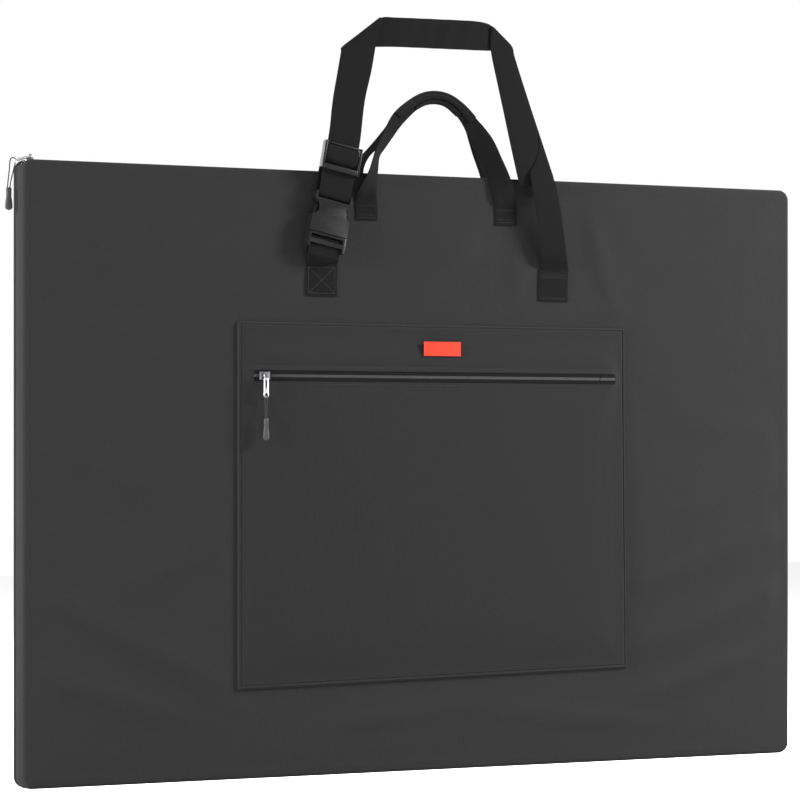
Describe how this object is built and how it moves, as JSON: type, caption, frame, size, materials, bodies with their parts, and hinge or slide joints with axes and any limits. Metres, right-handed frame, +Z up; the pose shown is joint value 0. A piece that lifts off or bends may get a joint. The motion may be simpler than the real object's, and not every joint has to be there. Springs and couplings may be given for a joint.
{
  "type": "portfolio case",
  "caption": "Flat padded portfolio case for large boards, with a zipped top and front pocket, a handle on each side and a buckled shoulder strap.",
  "frame": {"origin": "middle of the bottom face, which the closed case stands on", "axes": "+X along the case's width to its right, +Y from its front to its back, +Z up"},
  "size_m": [0.9684, 0.0443, 0.808],
  "materials": {
    "case_fabric": "matte",
    "lining": "matte",
    "padding": "matte",
    "board": "matte",
    "zip_tape": "matte",
    "zip_coil": "satin",
    "zip_metal": "satin",
    "pull_cord": "matte",
    "pull_rubber": "matte",
    "label": "matte",
    "webbing": "matte",
    "buckle_plastic": "satin"
  },
  "bodies": {
    "case": {"front_cover": "case_fabric", "front_padding": "padding", "front_board": "board", "front_lining": "lining", "back_cover": "case_fabric", "back_padding": "padding", "back_board": "board", "back_lining": "lining", "side_gusset": "case_fabric", "zip_end_left": "zip_tape", "zip_end_right": "zip_tape", "pocket_panel": "case_fabric", "pocket_band": "case_fabric", "pocket_side_hems": "case_fabric", "pocket_end_hems": "case_fabric", "pocket_zip_ends": "zip_tape", "pocket_label": "label", "front_handle_ends": "webbing", "back_handle_ends": "webbing", "strap_end_left": "webbing", "strap_end_right": "webbing"},
    "front_zip_half": {"front_zip_tape": "zip_tape", "front_zip_coil": "zip_coil"},
    "back_zip_half": {"back_zip_tape": "zip_tape", "back_zip_coil": "zip_coil"},
    "pocket_zip_upper": {"pocket_upper_tape": "zip_tape", "pocket_upper_coil": "zip_coil"},
    "pocket_zip_lower": {"pocket_lower_tape": "zip_tape", "pocket_lower_coil": "zip_coil"},
    "main_slider": {"main_slider": "zip_metal"},
    "main_tab": {"main_pull_tab": "zip_metal"},
    "main_pull": {"main_pull_cord": "pull_cord", "main_pull_grip": "pull_rubber"},
    "pocket_slider": {"pocket_slider": "zip_metal"},
    "pocket_pull": {"pocket_pull_tab": "zip_metal", "pocket_pull_cord": "pull_cord", "pocket_pull_grip": "pull_rubber"},
    "front_handle": {"front_handle": "webbing"},
    "back_handle": {"back_handle": "webbing"},
    "strap": {"shoulder_strap": "webbing", "buckle_socket": "buckle_plastic"},
    "adjuster": {"strap_adjuster": "buckle_plastic", "strap_return": "webbing"},
    "plug": {"buckle_plug": "buckle_plastic", "buckle_web": "webbing"},
    "left_latch": {"left_latch_arm": "buckle_plastic"},
    "right_latch": {"right_latch_arm": "buckle_plastic"}
  },
  "joints": [
    {"name": "front_zip_fold", "type": "hinge", "parent": "case", "child": "front_zip_half", "pos_m": [0, -0.006, 0.6356], "axis": [1, 0, 0], "range_deg": [0, 75]},
    {"name": "back_zip_fold", "type": "hinge", "parent": "case", "child": "back_zip_half", "pos_m": [0, 0.006, 0.6356], "axis": [-1, 0, 0], "range_deg": [0, 75]},
    {"name": "main_slider_travel", "type": "slide", "parent": "case", "child": "main_slider", "axis": [1, 0, 0], "range_m": [0, 0.927], "deforming": ["main_pull_cord", "main_pull_grip"]},
    {"name": "main_tab_flip", "type": "hinge", "parent": "main_slider", "child": "main_tab", "pos_m": [-0.4635, 0, 0.6437], "axis": [0, 1, 0], "range_deg": [0, 200]},
    {"name": "main_pull_lay", "type": "hinge", "parent": "main_tab", "child": "main_pull", "pos_m": [-0.47947, 0, 0.63882], "axis": [0, 1, 0], "range_deg": [0, 91]},
    {"name": "pocket_zip_upper_fold", "type": "hinge", "parent": "case", "child": "pocket_zip_upper", "pos_m": [0.011, -0.0177, 0.4275], "axis": [-1, 0, 0], "range_deg": [0, 75]},
    {"name": "pocket_zip_lower_fold", "type": "hinge", "parent": "case", "child": "pocket_zip_lower", "pos_m": [0.011, -0.0177, 0.4175], "axis": [1, 0, 0], "range_deg": [0, 75]},
    {"name": "pocket_slider_travel", "type": "slide", "parent": "case", "child": "pocket_slider", "axis": [1, 0, 0], "range_m": [0, 0.428]},
    {"name": "pocket_pull_swing", "type": "hinge", "parent": "pocket_slider", "child": "pocket_pull", "pos_m": [-0.203, -0.0225, 0.4225], "axis": [0, -1, 0], "range_deg": [-80, 80]},
    {"name": "front_handle_swing", "type": "hinge", "parent": "case", "child": "front_handle", "pos_m": [0.01, -0.0155, 0.613], "axis": [1, 0, 0], "range_deg": [0, 165]},
    {"name": "back_handle_swing", "type": "hinge", "parent": "case", "child": "back_handle", "pos_m": [0.01, 0.0155, 0.613], "axis": [-1, 0, 0], "range_deg": [0, 165]},
    {"name": "strap_swing", "type": "hinge", "parent": "case", "child": "strap", "pos_m": [0.0125, -0.0215, 0.543], "axis": [1, 0, 0], "range_deg": [0, 175]},
    {"name": "adjuster_travel", "type": "slide", "parent": "strap", "child": "adjuster", "axis": [0.2045, 0.041, 0.978], "range_m": [0, 0.08], "deforming": ["strap_return"]},
    {"name": "plug_release", "type": "slide", "parent": "strap", "child": "plug", "axis": [-0.2045, -0.041, -0.978], "range_m": [0, 0.03], "deforming": ["buckle_web"]},
    {"name": "left_latch_press", "type": "hinge", "parent": "plug", "child": "left_latch", "pos_m": [-0.1422, -0.02006, 0.57742], "axis": [0, 0.9991, -0.0419], "range_deg": [0, 8], "stiffness_Nm_per_rad": 0.01},
    {"name": "right_latch_press", "type": "hinge", "parent": "plug", "child": "right_latch", "pos_m": [-0.11675, -0.02028, 0.57211], "axis": [0, -0.9991, 0.0419], "range_deg": [0, 8], "stiffness_Nm_per_rad": 0.01}
  ],
  "couplings": [
    {"joint": "main_pull_lay", "follows": "main_slider_travel", "rad_per_m": 1.6945}
  ]
}
